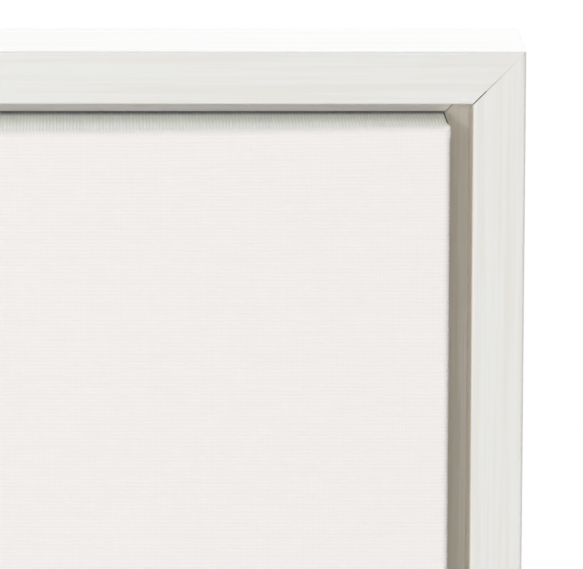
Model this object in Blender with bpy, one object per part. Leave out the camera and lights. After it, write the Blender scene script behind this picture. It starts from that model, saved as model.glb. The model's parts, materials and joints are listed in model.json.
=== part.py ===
"""Stretched canvas in a float frame, about 8 x 10 in.

One sheet of primed cotton is wrapped over four keyed stretcher bars and stapled behind. The canvas
floats inside an L-shaped frame: it stands on the frame's ledge, clear of the frame's wall all round,
and is held by screws that come through the ledge from behind. Two ring hangers are on the back.

Metres, +Z up, front towards -Y. The origin is the middle of the frame's underside.

Each side of the frame and of the canvas is drawn as the bottom one, in side coordinates: x runs along
the side, y is the depth, z runs inwards from the outer edge. A quarter turn about Y then puts it in
place, so the four sides share one drawing.
"""

import math

import bmesh
import bpy
from mathutils import Matrix, Vector

# Canvas, measured over the cloth
CANVAS_WIDTH = 0.2032
CANVAS_HEIGHT = 0.2540
CLOTH_THICKNESS = 0.0005
CLOTH_FRONT_RADIUS = 0.0016
CLOTH_BACK_RADIUS = 0.0014
CLOTH_TURN_IN = 0.0240
# The front edges of the short sides are drawn in between the corners by the pull of the cloth
EDGE_DRAW_IN = 0.0008

# Stretcher bars
BAR_WIDTH = 0.0380
BAR_DEPTH = 0.0174
BAR_BEAD_WIDTH = 0.0040
BAR_BEVEL_DROP = 0.0025
BAR_INNER_EASE = 0.0008

# Corner joint of the bars: two slots, one above the other, each holding a tongue and a key
JOINT_CHEEK = 0.0034
JOINT_SLOT = 0.0038
JOINT_WEB = 0.0022
JOINT_MARGIN = 0.0100

# Corner keys
KEY_TIP_WIDTH = 0.0045
KEY_HEAD_WIDTH = 0.0125
KEY_TIP_MARGIN = 0.0020
KEY_STAND_OUT = 0.0140
KEY_EASE = 0.0006

# Float frame
FACE_WIDTH = 0.0095
SHADOW_GAP = 0.0040
LEDGE_OVERLAP = 0.0120
LEDGE_THICKNESS = 0.0105
CANVAS_RECESS = 0.0002
ARRIS_RADIUS = 0.0005
# The frame's mitres are tight at the outer corner and open a little towards the inside
MITRE_OUTER_GAP = 0.00006
MITRE_INNER_GAP = 0.00022

# Play between pieces that touch, and between the bars at their mitres
SEAT_GAP = 0.0003

# Staples
STAPLE_CROWN = 0.0110
STAPLE_WIDTH = 0.0011
STAPLE_WIRE = 0.0006
STAPLE_LEG = 0.0040
STAPLE_INSET = 0.0180
STAPLE_FROM_CORNER = 0.0300
STAPLES_ACROSS = 4
STAPLES_UP = 6

# Screws that hold the canvas in the frame, with flat countersunk heads
SCREW_SHANK_RADIUS = 0.00175
SCREW_HEAD_RADIUS = 0.0035
SCREW_LENGTH = 0.0200
SCREW_POINT = 0.0030
SCREW_INSET = 0.0060
SCREW_FROM_CORNER = 0.0520

# V-nails across the frame's mitres
V_NAIL_ARM = 0.0050
V_NAIL_THICKNESS = 0.0005
V_NAIL_HEIGHT = 0.0080
V_NAIL_INSETS = (0.0070, 0.0180)

# Ring hangers on the side rails
HANGER_DROP = 0.0850
HANGER_SCREW_INSET = 0.0065
STRAP_SHEET = 0.0008
STRAP_SLIT = 0.0001
STRAP_WIDTH = 0.0084
STRAP_TAIL = 0.0042
STRAP_NECK = 0.0038
STRAP_CORNER = 0.0025
SHOULDER_ANGLE = math.radians(130)
RING_WIRE_RADIUS = 0.0010
RING_PLAY = 0.00025
RING_BAR_HALF = 0.0045
RING_BEND = 0.0025
HANGER_SHANK_RADIUS = 0.0014
HANGER_HEAD_RADIUS = 0.0028
HANGER_HEAD_HEIGHT = 0.0018
HANGER_CROWN_RADIUS = 0.0017
HANGER_SCREW_LENGTH = 0.0100
HANGER_SCREW_POINT = 0.0025

# Fineness of round work
ARC_STEPS = 3
ROUND_STEPS = 14
EDGE_STEPS = 8
RING_ARC_STEPS = 12
SMOOTH_ANGLE = math.radians(40)
# Points nearer than this are one point
TOLERANCE = 1e-7

# Depths, from the frame's front to its back
CANVAS_DEPTH = BAR_DEPTH + 2 * (CLOTH_THICKNESS + SEAT_GAP)
FRAME_DEPTH = CANVAS_RECESS + CANVAS_DEPTH + SEAT_GAP + LEDGE_THICKNESS
FRONT_Y = -FRAME_DEPTH / 2
BACK_Y = FRAME_DEPTH / 2
LEDGE_Y = BACK_Y - LEDGE_THICKNESS
CLOTH_BACK_Y = LEDGE_Y - SEAT_GAP
CLOTH_FRONT_Y = CLOTH_BACK_Y - CANVAS_DEPTH
BAR_BACK_Y = CLOTH_BACK_Y - CLOTH_THICKNESS - SEAT_GAP
BAR_FRONT_Y = BAR_BACK_Y - BAR_DEPTH

# Outlines
RAIL_WIDTH = FACE_WIDTH + SHADOW_GAP + LEDGE_OVERLAP
CANVAS_INSET = FACE_WIDTH + SHADOW_GAP
BAR_INSET = CANVAS_INSET + CLOTH_THICKNESS + SEAT_GAP
FRAME_WIDTH = CANVAS_WIDTH + 2 * CANVAS_INSET
FRAME_HEIGHT = CANVAS_HEIGHT + 2 * CANVAS_INSET
HALF_WIDTH = FRAME_WIDTH / 2
HALF_HEIGHT = FRAME_HEIGHT / 2

# Ring hangers, in side coordinates: the barrel is the strap's rolled fold round the ring's bar
STRAP_LOWER_Y = BACK_Y + SEAT_GAP + STRAP_SHEET / 2
STRAP_UPPER_Y = STRAP_LOWER_Y + STRAP_SHEET + STRAP_SLIT
STRAP_TOP_Y = STRAP_UPPER_Y + STRAP_SHEET / 2
BARREL_RADIUS = RING_WIRE_RADIUS + RING_PLAY + STRAP_SHEET / 2
BARREL_Y = STRAP_LOWER_Y + BARREL_RADIUS
SHOULDER = Vector((math.cos(SHOULDER_ANGLE), math.sin(SHOULDER_ANGLE))) * BARREL_RADIUS
SHOULDER_RUN = (BARREL_Y + SHOULDER.y - STRAP_UPPER_Y) * math.tan(math.pi - SHOULDER_ANGLE)
BARREL_ALONG = STRAP_NECK + SHOULDER_RUN - SHOULDER.x
BARREL_INSET = HANGER_SCREW_INSET + BARREL_ALONG

# Quarter turns from the bottom side, counter-clockwise as seen from the front
SIDES = {"bottom": 0, "right": 1, "top": 2, "left": 3}
# The corner where each side starts, in that order of turning
STARTS = {"bottom": "bottom_left", "right": "bottom_right", "top": "top_right", "left": "top_left"}
# Which way up each hanger's rail is, along its side
HANGER_SIDES = {"right": 1, "left": -1}

# Directions in a section, as (inset, y)
BACK, FRONT, INWARDS, OUTWARDS = (0, 1), (0, -1), (1, 0), (-1, 0)


def is_short(side):
    return side in ("bottom", "top")


def half_along(side, inset=0.0):
    """Half the length of a side's edge, inset from the frame's outer edge."""
    return (HALF_WIDTH if is_short(side) else HALF_HEIGHT) - inset


def half_across(side):
    """How far the frame's outer edge lies from the frame's centre."""
    return HALF_HEIGHT if is_short(side) else HALF_WIDTH


def side_matrix(side, along=0.0, depth=0.0, inset=0.0):
    """Puts side coordinates in place, starting at a point of that side."""
    turn = Matrix.Rotation(-SIDES[side] * math.pi / 2, 4, "Y")
    start = Matrix.Translation((along, depth, inset - half_across(side)))
    return Matrix.Translation((0, 0, HALF_HEIGHT)) @ turn @ start


def draw_in(side, share):
    """Inward pull of a side's front edge at a share of its half length, -1 to 1."""
    return EDGE_DRAW_IN * (1 - share**2) if is_short(side) else 0.0


def edge_shares():
    """Evenly spaced stations along one side, -1 to 1, without the last."""
    return [-1 + 2 * i / EDGE_STEPS for i in range(EDGE_STEPS)]


def material(name, colour, roughness, metallic=0.0):
    made = bpy.data.materials.new(name)
    made.use_nodes = True
    shader = made.node_tree.nodes["Principled BSDF"]
    shader.inputs["Base Color"].default_value = (*colour, 1.0)
    shader.inputs["Roughness"].default_value = roughness
    shader.inputs["Metallic"].default_value = metallic
    return made


def add_object(name, data, finish, matrix=None):
    made = bpy.data.objects.new(name, data)
    bpy.context.scene.collection.objects.link(made)
    data.materials.append(finish)
    made.matrix_world = matrix or Matrix.Identity(4)
    return made


def finish_mesh(name, bm, smooth=False):
    """Turns a bmesh into a mesh with its faces pointing out."""
    bmesh.ops.recalc_face_normals(bm, faces=bm.faces)
    mesh = bpy.data.meshes.new(name)
    bm.to_mesh(mesh)
    bm.free()
    if smooth:
        mesh.shade_smooth()
        mesh.set_sharp_from_angle(angle=SMOOTH_ANGLE)
    return mesh


def add_cutter(name, bm):
    made = bpy.data.objects.new(name, finish_mesh(name, bm))
    bpy.context.scene.collection.objects.link(made)
    made.hide_render = True
    made.display_type = "WIRE"
    return made


def boolean(target, tool, operation):
    step = target.modifiers.new(operation.lower(), "BOOLEAN")
    step.operation = operation
    step.solver = "EXACT"
    step.object = tool


def round_corner(corner, arriving, leaving, radius):
    """Arc at a square corner, from the arriving direction into the leaving one."""
    corner, arriving, leaving = Vector(corner), Vector(arriving), Vector(leaving)
    centre = corner + (leaving - arriving) * radius
    turns = [math.pi / 2 * i / ARC_STEPS for i in range(ARC_STEPS + 1)]
    return [centre + (arriving * math.sin(t) - leaving * math.cos(t)) * radius for t in turns]


def extrude_outline(bm, outline, start, finish):
    """Extrudes a flat outline, with start and finish giving each end's points."""
    face = bm.faces.new([bm.verts.new(start(p)) for p in outline])
    grown = bmesh.ops.extrude_face_region(bm, geom=[face])["geom"]
    ends = [v for v in grown if isinstance(v, bmesh.types.BMVert)]
    lookup = {tuple(start(p)): finish(p) for p in outline}
    for vert in ends:
        near = min(lookup, key=lambda key: (Vector(key) - vert.co).length)
        vert.co = lookup[near]


def prism(bm, outline, low_y, high_y):
    """Extrudes an outline of (x, z) points through the depth."""
    extrude_outline(
        bm,
        outline,
        lambda p: Vector((p[0], low_y, p[1])),
        lambda p: Vector((p[0], high_y, p[1])),
    )


def turned(bm, profile, centre):
    """Turns a profile of (radius, y) points about the Y axis through a centre."""
    line = [bm.verts.new(Vector(centre) + Vector((r, y, 0))) for r, y in profile]
    edges = [bm.edges.new(pair) for pair in zip(line, line[1:])]
    bmesh.ops.spin(
        bm,
        geom=line + edges,
        cent=centre,
        axis=(0, 1, 0),
        angle=2 * math.pi,
        steps=ROUND_STEPS,
        use_merge=True,
    )
    bmesh.ops.remove_doubles(bm, verts=bm.verts, dist=TOLERANCE)


def mitred_bar(outline, reach):
    """Extrudes a section of (inset, y) points to the mitres, where reach gives half the length."""
    bm = bmesh.new()
    extrude_outline(
        bm,
        outline,
        lambda p: Vector((-reach(p[0]), p[1], p[0])),
        lambda p: Vector((reach(p[0]), p[1], p[0])),
    )
    return bm


def rail_section():
    """The L of the frame's moulding: wall at the outside, ledge behind."""
    return [
        Vector((0, BACK_Y)),
        *round_corner((0, FRONT_Y), FRONT, INWARDS, ARRIS_RADIUS),
        *round_corner((FACE_WIDTH, FRONT_Y), INWARDS, BACK, ARRIS_RADIUS),
        Vector((FACE_WIDTH, LEDGE_Y)),
        Vector((RAIL_WIDTH, LEDGE_Y)),
        Vector((RAIL_WIDTH, BACK_Y)),
    ]


def add_rail(side, finish, cutter):
    def reach(inset):
        gap = MITRE_OUTER_GAP + (MITRE_INNER_GAP - MITRE_OUTER_GAP) * inset / FACE_WIDTH
        return half_along(side) - inset - gap / math.sqrt(2)

    name = f"{side}_frame_rail"
    mesh = finish_mesh(name, mitred_bar(rail_section(), reach))
    rail = add_object(name, mesh, finish, side_matrix(side))
    boolean(rail, cutter, "DIFFERENCE")


def bar_section():
    """A stretcher bar: a bead along the outer front edge, then a bevel away from the cloth."""
    front_radius = CLOTH_FRONT_RADIUS - CLOTH_THICKNESS - SEAT_GAP
    back_radius = CLOTH_BACK_RADIUS - CLOTH_THICKNESS - SEAT_GAP
    inner_front_y = BAR_FRONT_Y + BAR_BEVEL_DROP
    return [
        *round_corner((0, BAR_BACK_Y), OUTWARDS, FRONT, back_radius),
        *round_corner((0, BAR_FRONT_Y), FRONT, INWARDS, front_radius),
        Vector((BAR_BEAD_WIDTH, BAR_FRONT_Y)),
        Vector((BAR_WIDTH, inner_front_y)),
        Vector((BAR_WIDTH, BAR_BACK_Y - BAR_INNER_EASE)),
        Vector((BAR_WIDTH - BAR_INNER_EASE, BAR_BACK_Y)),
    ]


def layer_depths(layer):
    """Front and back of one of the corner joint's two slots."""
    back = BAR_BACK_Y - JOINT_CHEEK - layer * (JOINT_SLOT + JOINT_WEB)
    return back - JOINT_SLOT, back


def tongue_layer(side):
    return 0 if is_short(side) else 1


def slot_layer(side):
    return 1 - tongue_layer(side)


def key_width(inset):
    """Width of a key at a distance from the bar's outer edge, growing from its tip to its head."""
    tip = JOINT_MARGIN + KEY_TIP_MARGIN
    head = BAR_WIDTH + KEY_STAND_OUT
    return KEY_TIP_WIDTH + (KEY_HEAD_WIDTH - KEY_TIP_WIDTH) * (inset - tip) / (head - tip)


def corner_points(side, end, points):
    """Turns (distance from the bars' corner, inset) into a bar's own (x, z)."""
    half = half_along(side, BAR_INSET)
    return [Vector((end * (half - along), inset)) for along, inset in points]


def tongue_outline():
    """The tongue reaches past the mitre into the next bar's slot."""
    edge = BAR_WIDTH - SEAT_GAP
    return [
        (JOINT_MARGIN, JOINT_MARGIN),
        (JOINT_MARGIN, edge),
        (BAR_WIDTH + JOINT_MARGIN, edge),
        (2 * JOINT_MARGIN, JOINT_MARGIN),
    ]


def slot_outline():
    """The slot takes the next bar's tongue and, beside it, a key that enters at the inner edge."""
    floor = BAR_WIDTH + 2 * SEAT_GAP
    deep = JOINT_MARGIN - SEAT_GAP
    tip = JOINT_MARGIN + KEY_TIP_MARGIN
    mouth = BAR_WIDTH + SEAT_GAP
    return [
        (0, deep),
        (floor + key_width(tip), deep),
        (floor + key_width(tip), tip),
        (floor + key_width(mouth), mouth),
        (0, mouth),
    ]


def bend_edge(bm, side):
    """Draws the bar's front edge in between its ends."""
    half = half_along(side, BAR_INSET)
    front_y = BAR_FRONT_Y + CLOTH_FRONT_RADIUS

    def on_front_edge(vert):
        return vert.co.z < CLOTH_FRONT_RADIUS and vert.co.y < front_y

    edges = [e for e in bm.edges if all(map(on_front_edge, e.verts)) and e.calc_length() > half]
    bmesh.ops.subdivide_edges(bm, edges=edges, cuts=EDGE_STEPS - 1, use_grid_fill=True)
    for vert in filter(on_front_edge, bm.verts[:]):
        station = round(vert.co.x / half * EDGE_STEPS / 2) * 2 / EDGE_STEPS
        if abs(station) < 1:
            vert.co.x = station * half
        depth_share = (BAR_BACK_Y - vert.co.y) / BAR_DEPTH
        vert.co.z += draw_in(side, vert.co.x / half) * depth_share
    inner_z = CLOTH_FRONT_RADIUS + EDGE_DRAW_IN
    outer = [f for f in bm.faces if max(v.co.z for v in f.verts) < inner_z]
    bmesh.ops.triangulate(bm, faces=outer)


def add_bar(side, finish, cutter):
    def reach(inset):
        return half_along(side, BAR_INSET) - inset - SEAT_GAP / math.sqrt(2)

    name = f"{side}_stretcher_bar"
    bm = mitred_bar(bar_section(), reach)
    if is_short(side):
        bend_edge(bm, side)
    bar = add_object(name, finish_mesh(name, bm), finish, side_matrix(side, inset=BAR_INSET))

    tongues, slots = bmesh.new(), bmesh.new()
    tongue_front, tongue_back = layer_depths(tongue_layer(side))
    for end in (-1, 1):
        outline = corner_points(side, end, tongue_outline())
        prism(tongues, outline, tongue_front + SEAT_GAP, tongue_back - SEAT_GAP)
        prism(slots, corner_points(side, end, slot_outline()), *layer_depths(slot_layer(side)))
    for suffix, bm, operation in (("tongues", tongues, "UNION"), ("slots", slots, "DIFFERENCE")):
        tool = add_cutter(f"{side}_bar_{suffix}", bm)
        tool.matrix_world = bar.matrix_world
        boolean(bar, tool, operation)
    boolean(bar, cutter, "DIFFERENCE")


def add_key(side, end, name, finish):
    """A key in this bar's slot. Its long straight edge lies along the next bar's inner edge."""
    tip = JOINT_MARGIN + KEY_TIP_MARGIN
    head = BAR_WIDTH + KEY_STAND_OUT
    straight = BAR_WIDTH + SEAT_GAP
    points = [
        (straight, tip + KEY_EASE),
        (straight, head - KEY_EASE),
        (straight + KEY_EASE, head),
        (straight + key_width(head) - KEY_EASE, head),
        (straight + key_width(head), head - KEY_EASE),
        (straight + key_width(tip), tip + KEY_EASE),
        (straight + key_width(tip) - KEY_EASE, tip),
        (straight + KEY_EASE, tip),
    ]
    outline = corner_points(side, end, points)
    front, back = layer_depths(slot_layer(side))
    origin = Vector((outline[0].x, (front + back) / 2, tip))
    half_thick = (back - front) / 2 - SEAT_GAP
    bm = bmesh.new()
    prism(bm, [(p.x - origin.x, p.y - origin.z) for p in outline], -half_thick, half_thick)
    place = side_matrix(side, origin.x, origin.y, BAR_INSET + origin.z)
    add_object(name, finish_mesh(name, bm), finish, place)


def cloth_rings():
    """The cloth's path from its front round to its flap: inset, depth and share of the draw-in."""
    path = [
        *round_corner((0, CLOTH_FRONT_Y), OUTWARDS, BACK, CLOTH_FRONT_RADIUS),
        *round_corner((0, CLOTH_BACK_Y), BACK, INWARDS, CLOTH_BACK_RADIUS),
        Vector((CLOTH_TURN_IN, CLOTH_BACK_Y)),
    ]
    side_depth = CLOTH_BACK_Y - CLOTH_FRONT_Y - CLOTH_BACK_RADIUS
    return [(p.x, p.y, max(0.0, 1 - (p.y - CLOTH_FRONT_Y) / side_depth)) for p in path]


def ring_points(inset, depth, pull):
    """One closed loop round the canvas."""
    points = []
    for side in SIDES:
        reach = half_along(side, CANVAS_INSET) - inset
        place = side_matrix(side, depth=depth, inset=CANVAS_INSET + inset)
        for share in edge_shares():
            points.append(place @ Vector((share * reach, 0, draw_in(side, share) * pull)))
    return points


def add_cloth(finish, cutter):
    bm = bmesh.new()
    loops = [[bm.verts.new(p) for p in ring_points(*ring)] for ring in cloth_rings()]
    bm.faces.new(loops[0])
    for near, far in zip(loops, loops[1:]):
        for i in range(len(near)):
            bm.faces.new((near[i - 1], near[i], far[i], far[i - 1]))
    cloth = add_object("canvas_cloth", finish_mesh("canvas_cloth", bm), finish)
    wall = cloth.modifiers.new("thickness", "SOLIDIFY")
    wall.thickness = CLOTH_THICKNESS
    wall.offset = -1.0
    wall.use_even_offset = True
    boolean(cloth, cutter, "DIFFERENCE")


def staple_places():
    """Every staple's side and place along it, evenly spaced between the corners."""
    for side in SIDES:
        count = STAPLES_ACROSS if is_short(side) else STAPLES_UP
        reach = half_along(side, CANVAS_INSET + STAPLE_FROM_CORNER)
        for number in range(count):
            yield side, number + 1, -reach + 2 * reach * number / (count - 1)


def add_staples(finish):
    crown_y = CLOTH_BACK_Y + SEAT_GAP
    half = STAPLE_CROWN / 2
    outline = [
        (-half, STAPLE_WIRE),
        (half, STAPLE_WIRE),
        (half, -STAPLE_LEG + STAPLE_WIRE),
        (half - STAPLE_WIRE, -STAPLE_LEG + STAPLE_WIRE),
        (half - STAPLE_WIRE, 0),
        (-half + STAPLE_WIRE, 0),
        (-half + STAPLE_WIRE, -STAPLE_LEG + STAPLE_WIRE),
        (-half, -STAPLE_LEG + STAPLE_WIRE),
    ]
    for side, number, along in staple_places():
        bm = bmesh.new()
        extrude_outline(
            bm,
            outline,
            lambda p: Vector((p[0], p[1], -STAPLE_WIDTH / 2)),
            lambda p: Vector((p[0], p[1], STAPLE_WIDTH / 2)),
        )
        name = f"{side}_staple_{number}"
        place = side_matrix(side, along, crown_y, CANVAS_INSET + STAPLE_INSET)
        add_object(name, finish_mesh(name, bm), finish, place)


def screw_places():
    """The side, end and place along it of each screw that holds the canvas."""
    for side in SIDES:
        reach = half_along(side, CANVAS_INSET + SCREW_FROM_CORNER)
        for number, end in enumerate((-1, 1), 1):
            yield side, number, end * reach


def flat_screw_profile(grow):
    """Countersunk screw from its head at y = 0 to its point, grown outwards for a hole."""
    cone = SCREW_HEAD_RADIUS - SCREW_SHANK_RADIUS
    shank = SCREW_SHANK_RADIUS + grow
    rise = grow * (math.sqrt(2) - 1)
    return [
        (0, grow),
        (SCREW_HEAD_RADIUS + grow + rise, grow),
        (shank, -cone - rise),
        (shank, -SCREW_LENGTH + SCREW_POINT - grow),
        (0, -SCREW_LENGTH - grow),
    ]


def add_screws(finish):
    for side, number, along in screw_places():
        bm = bmesh.new()
        turned(bm, flat_screw_profile(0.0), (0, 0, 0))
        name = f"{side}_mounting_screw_{number}"
        mesh = finish_mesh(name, bm, smooth=True)
        place = side_matrix(side, along, BACK_Y - SEAT_GAP, CANVAS_INSET + SCREW_INSET)
        add_object(name, mesh, finish, place)


def v_nail_outline(inset, grow):
    """An L whose bend lies on the mitre, in (distance from the corner, inset) of one rail."""
    half = V_NAIL_THICKNESS / 2 + grow
    low, high = inset - half, inset + half
    reach = inset + V_NAIL_ARM + grow
    return [(low, low), (reach, low), (reach, high), (high, high), (high, reach), (low, reach)]


def v_nail_points(side, inset, grow):
    """The L at the start of a side, as (x, z) in that side's coordinates."""
    start = -half_along(side)
    return [Vector((start + along, across)) for along, across in v_nail_outline(inset, grow)]


def add_v_nails(finish):
    for side in SIDES:
        for number, inset in enumerate(V_NAIL_INSETS, 1):
            bm = bmesh.new()
            top = BACK_Y - SEAT_GAP
            prism(bm, v_nail_points(side, inset, 0.0), top - V_NAIL_HEIGHT, top)
            name = f"{STARTS[side]}_v_nail_{number}"
            add_object(name, finish_mesh(name, bm), finish, side_matrix(side))


def hanger_along(side):
    """Where a hanger sits along its rail."""
    return HANGER_SIDES[side] * (HALF_HEIGHT - HANGER_DROP)


def strap_path():
    """Middle line of the folded strap, as (distance from the screw, y), one leaf over the other."""
    sweep = SHOULDER_ANGLE + math.pi / 2
    turns = [-math.pi / 2 + sweep * i / RING_ARC_STEPS for i in range(RING_ARC_STEPS + 1)]
    centre = Vector((BARREL_ALONG, BARREL_Y))
    return [
        Vector((-STRAP_TAIL, STRAP_LOWER_Y)),
        *(centre + Vector((math.cos(t), math.sin(t))) * BARREL_RADIUS for t in turns),
        Vector((STRAP_NECK, STRAP_UPPER_Y)),
        Vector((-STRAP_TAIL, STRAP_UPPER_Y)),
    ]


def thicken(path, thickness):
    """Closed outline of a sheet that follows a path."""
    left, right = [], []
    for i, point in enumerate(path):
        before = (point - path[i - 1]).normalized() if i else None
        after = (path[i + 1] - point).normalized() if i + 1 < len(path) else None
        heading = ((before or after) + (after or before)).normalized()
        normal = Vector((-heading.y, heading.x))
        stretch = 1 / heading.dot(after or before)
        left.append(point + normal * thickness / 2 * stretch)
        right.append(point - normal * thickness / 2 * stretch)
    return left + right[::-1]


def add_hanger(side, steel, screw_steel):
    along = hanger_along(side)
    outline = thicken(strap_path(), STRAP_SHEET)
    bm = bmesh.new()
    extrude_outline(
        bm,
        outline,
        lambda p: Vector((-STRAP_WIDTH / 2, p[1], p[0])),
        lambda p: Vector((STRAP_WIDTH / 2, p[1], p[0])),
    )
    ends = [v for v in bm.verts if v.co.z < -STRAP_TAIL + TOLERANCE]
    tail = [e for e in bm.edges if set(e.verts) <= set(ends) and e.calc_length() < STRAP_WIDTH / 2]
    bmesh.ops.bevel(
        bm,
        geom=tail,
        offset=STRAP_CORNER,
        segments=ARC_STEPS,
        affect="EDGES",
        profile=0.5,
        material=-1,
    )
    place = side_matrix(side, along, 0.0, HANGER_SCREW_INSET)
    strap_name = f"{side}_hanger_strap"
    strap = add_object(strap_name, finish_mesh(strap_name, bm), steel, place)

    hole = bmesh.new()
    radius = HANGER_SHANK_RADIUS + SEAT_GAP
    turned(hole, [(0, 0), (radius, 0), (radius, 2 * STRAP_TOP_Y), (0, 2 * STRAP_TOP_Y)], (0, 0, 0))
    cutter = add_cutter(f"{side}_strap_hole", hole)
    cutter.matrix_world = place
    boolean(strap, cutter, "DIFFERENCE")

    screw = bmesh.new()
    turned(screw, hanger_screw_profile(), (0, 0, 0))
    screw_name = f"{side}_hanger_screw"
    seat = side_matrix(side, along, STRAP_TOP_Y + SEAT_GAP, HANGER_SCREW_INSET)
    add_object(screw_name, finish_mesh(screw_name, screw, smooth=True), screw_steel, seat)
    add_ring(side, steel)


def hanger_screw_profile():
    """Pan-head screw, with the underside of its head at y = 0."""
    rim = HANGER_HEAD_HEIGHT / 2
    return [
        (0, HANGER_HEAD_HEIGHT),
        (HANGER_CROWN_RADIUS, HANGER_HEAD_HEIGHT),
        (HANGER_HEAD_RADIUS, rim),
        (HANGER_HEAD_RADIUS, 0),
        (HANGER_SHANK_RADIUS, 0),
        (HANGER_SHANK_RADIUS, -HANGER_SCREW_LENGTH + HANGER_SCREW_POINT),
        (0, -HANGER_SCREW_LENGTH),
    ]


def arc_points(centre, radius, start, finish, steps):
    """Points between the two ends of an arc."""
    turns = [start + (finish - start) * i / steps for i in range(1, steps)]
    return [Vector((centre[0] + radius * math.cos(t), centre[1] + radius * math.sin(t))) for t in turns]


def ring_path():
    """Middle line of the D-ring, its straight bar on the hinge axis, as (along, inwards)."""
    bar, bend = RING_BAR_HALF, RING_BEND
    quarter = math.pi / 2
    path = [Vector((-bar, 0)), Vector((bar, 0))]
    path += arc_points((bar, bend), bend, -quarter, 0, ARC_STEPS)
    path += [Vector((bar + bend, bend))]
    path += arc_points((0, bend), bar + bend, 0, math.pi, RING_ARC_STEPS)
    path += [Vector((-bar - bend, bend))]
    path += arc_points((-bar, bend), bend, math.pi, 3 * quarter, ARC_STEPS)
    return path


def add_ring(side, steel):
    curve = bpy.data.curves.new(f"{side}_hanger_ring", "CURVE")
    curve.dimensions = "3D"
    curve.fill_mode = "FULL"
    curve.bevel_depth = RING_WIRE_RADIUS
    curve.bevel_resolution = 2
    wire = curve.splines.new("POLY")
    path = ring_path()
    wire.points.add(len(path) - 1)
    for point, place in zip(wire.points, path):
        point.co = (place.x, 0, place.y, 1)
    wire.use_cyclic_u = True
    hinge = side_matrix(side, hanger_along(side), BARREL_Y, BARREL_INSET)
    add_object(f"{side}_hanger_ring", curve, steel, hinge)


def rail_cutter():
    """Everything that is bored or driven into the frame's back."""
    bm = bmesh.new()
    for side, _, along in screw_places():
        hole = bmesh.new()
        turned(hole, flat_screw_profile(SEAT_GAP), (0, 0, 0))
        place = side_matrix(side, along, BACK_Y - SEAT_GAP, CANVAS_INSET + SCREW_INSET)
        merge(bm, hole, place)
    for side in SIDES:
        for inset in V_NAIL_INSETS:
            pocket = bmesh.new()
            depth = BACK_Y - 2 * SEAT_GAP - V_NAIL_HEIGHT
            prism(pocket, v_nail_points(side, inset, SEAT_GAP), depth, BACK_Y + SEAT_GAP)
            merge(bm, pocket, side_matrix(side))
    for side in HANGER_SIDES:
        hole = bmesh.new()
        radius = HANGER_SHANK_RADIUS + SEAT_GAP
        deep = STRAP_TOP_Y - HANGER_SCREW_LENGTH
        turned(hole, [(0, deep), (radius, deep), (radius, STRAP_TOP_Y), (0, STRAP_TOP_Y)], (0, 0, 0))
        merge(bm, hole, side_matrix(side, hanger_along(side), 0.0, HANGER_SCREW_INSET))
    return add_cutter("frame_back_holes", bm)


def canvas_cutter():
    """What is driven through the cloth into the bars: staple legs and screws."""
    bm = bmesh.new()
    half_wire, half_width = STAPLE_WIRE / 2 + SEAT_GAP, STAPLE_WIDTH / 2 + SEAT_GAP
    leg_deep = CLOTH_BACK_Y + STAPLE_WIRE - STAPLE_LEG
    for side, _, along in staple_places():
        for end in (-1, 1):
            leg = bmesh.new()
            x = end * (STAPLE_CROWN - STAPLE_WIRE) / 2
            outline = [
                (x - half_wire, -half_width),
                (x + half_wire, -half_width),
                (x + half_wire, half_width),
                (x - half_wire, half_width),
            ]
            prism(leg, outline, leg_deep, LEDGE_Y)
            merge(bm, leg, side_matrix(side, along, 0.0, CANVAS_INSET + STAPLE_INSET))
    for side, _, along in screw_places():
        hole = bmesh.new()
        turned(hole, flat_screw_profile(SEAT_GAP), (0, 0, 0))
        merge(bm, hole, side_matrix(side, along, BACK_Y - SEAT_GAP, CANVAS_INSET + SCREW_INSET))
    return add_cutter("canvas_back_holes", bm)


def merge(bm, piece, place):
    """Adds one bmesh to another, in its place."""
    bmesh.ops.transform(piece, matrix=place, verts=piece.verts)
    mesh = bpy.data.meshes.new("piece")
    piece.to_mesh(mesh)
    piece.free()
    bm.from_mesh(mesh)
    bpy.data.meshes.remove(mesh)


def add_keys(finish):
    next_side = {"bottom": "right", "right": "top", "top": "left", "left": "bottom"}
    for side, following in next_side.items():
        for bar, end in ((side, 1), (following, -1)):
            row, column = (side, following) if is_short(side) else (following, side)
            lie = "upright" if is_short(bar) else "level"
            add_key(bar, end, f"{row}_{column}_key_{lie}", finish)


def main():
    for old in list(bpy.data.objects):
        bpy.data.objects.remove(old)

    white_wood = material("white_washed_wood", (0.79, 0.78, 0.76), 0.55)
    bar_wood = material("pine_bar", (0.63, 0.47, 0.29), 0.65)
    key_wood = material("beech_key", (0.68, 0.50, 0.32), 0.6)
    cotton = material("primed_cotton", (0.84, 0.83, 0.80), 0.85)
    zinc = material("zinc_plated_steel", (0.62, 0.62, 0.60), 0.35, 1.0)
    wire = material("staple_wire", (0.60, 0.60, 0.61), 0.3, 1.0)

    frame_holes = rail_cutter()
    canvas_holes = canvas_cutter()
    for side in SIDES:
        add_rail(side, white_wood, frame_holes)
        add_bar(side, bar_wood, canvas_holes)
    add_keys(key_wood)
    add_cloth(cotton, canvas_holes)
    add_staples(wire)
    add_screws(zinc)
    add_v_nails(zinc)
    for side in HANGER_SIDES:
        add_hanger(side, zinc, zinc)


main()
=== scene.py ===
# %% [markdown]
# # A blank canvas in a float frame
#
# The object is a primed cotton canvas on keyed stretcher bars. It floats inside a white-washed frame with
# an L-shaped section, so a narrow shadow gap runs all round it. The solids come ready made and in place.
# This lesson gives them their finishes, and makes the soft cloth and the small hardware in more detail.

import json
import math

import bmesh
import bpy
from mathutils import Matrix, Quaternion, Vector


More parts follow.
